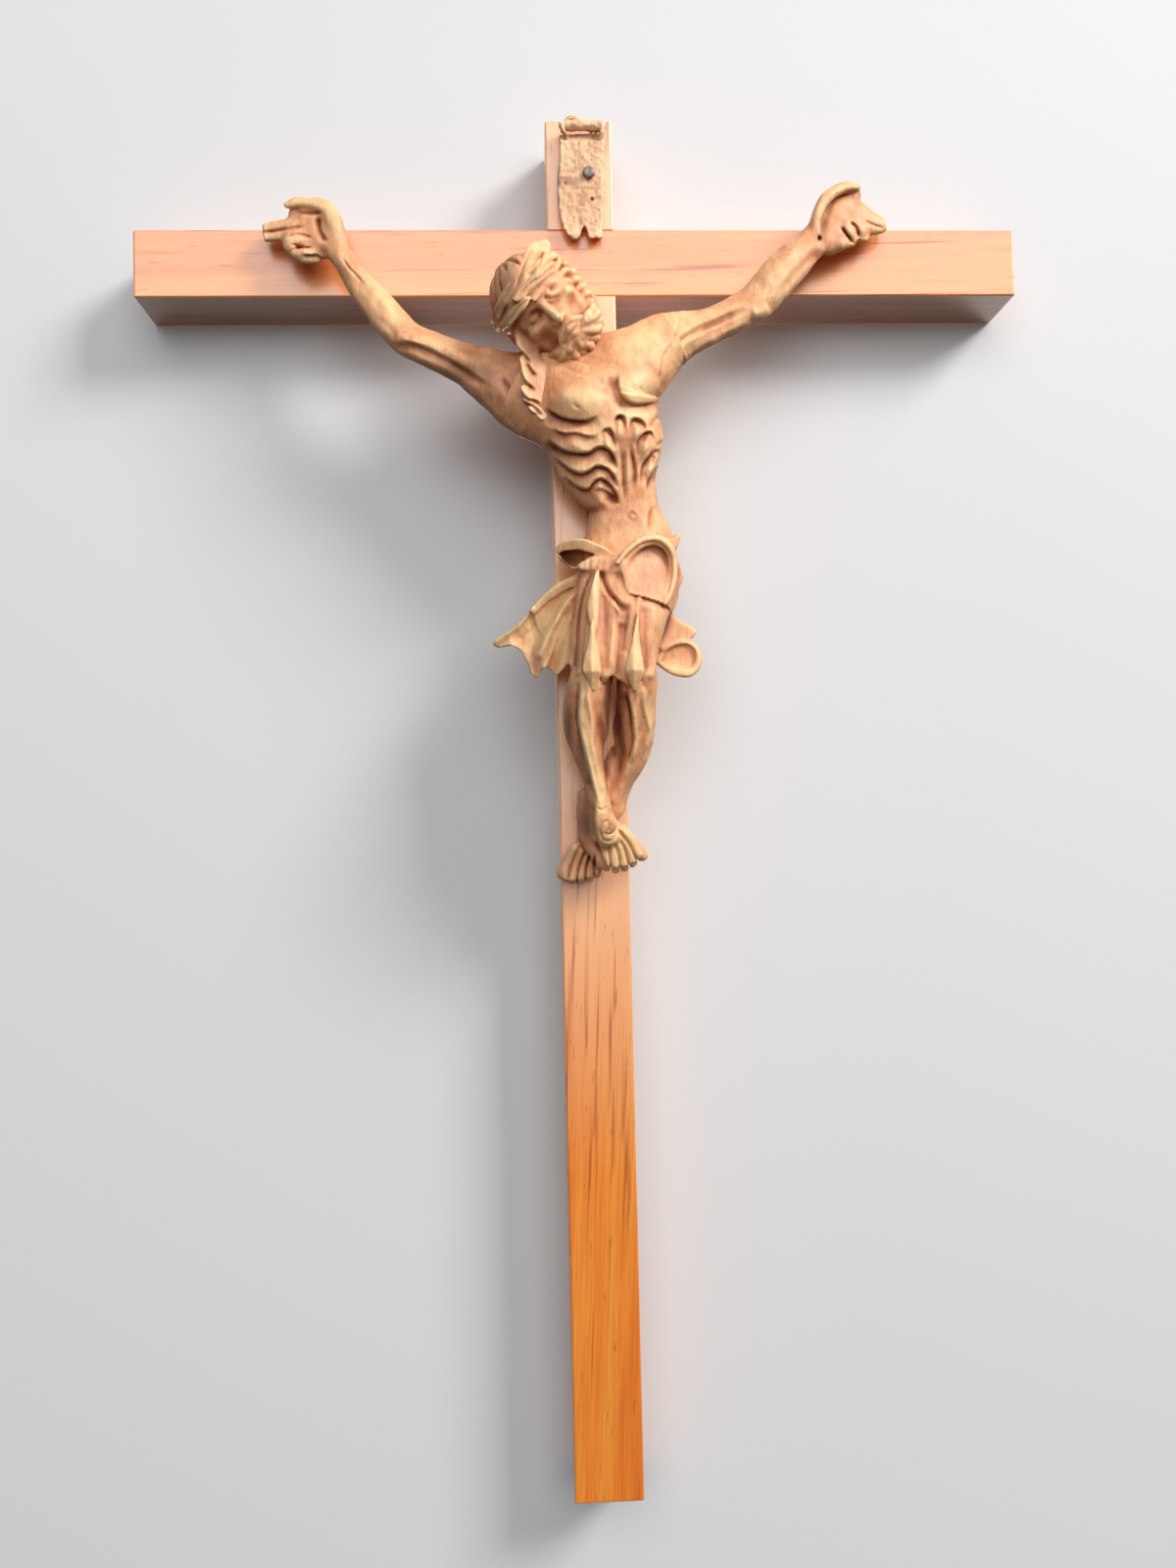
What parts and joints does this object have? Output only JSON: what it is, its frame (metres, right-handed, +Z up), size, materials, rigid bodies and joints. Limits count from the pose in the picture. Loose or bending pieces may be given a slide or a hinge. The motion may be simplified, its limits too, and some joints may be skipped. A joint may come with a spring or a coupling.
{
  "type": "wall crucifix",
  "caption": "Wall crucifix: a halved square-section wooden cross with a carved wooden corpus, a small nailed scroll board and a screw eye at the top for hanging.",
  "frame": {"origin": "centre of the hanging eye's hole, just above the post's top end", "axes": "+Z up along the post, +X to the viewer's right, +Y into the wall, so the front faces -Y"},
  "size_m": [0.2135, 0.0432, 0.3362],
  "materials": {
    "cross_wood": "satin waxed hardwood",
    "carved_wood": "stained and rubbed",
    "scroll_wood": "matt, open grain",
    "dowel_wood": "raw",
    "dark_steel": "dull dark steel",
    "eye_brass": "aged brass"
  },
  "bodies": {
    "cross": {"upright_post": "cross_wood", "crossbeam": "cross_wood", "corpus_body": "carved_wood", "right_arm": "carved_wood", "left_arm": "carved_wood", "shoulder_dowels": "dowel_wood", "hand_pins": "dark_steel", "corpus_screws": "dark_steel", "foot_peg": "carved_wood", "titulus_scroll": "scroll_wood", "titulus_nail": "dark_steel"},
    "eye": {"hanging_eye": "eye_brass"}
  },
  "joints": [
    {"name": "eye_turn", "type": "hinge", "parent": "cross", "child": "eye", "pos_m": [0, 0, 0], "axis": [0, 0, 1], "range_deg": [-90, 90]}
  ]
}
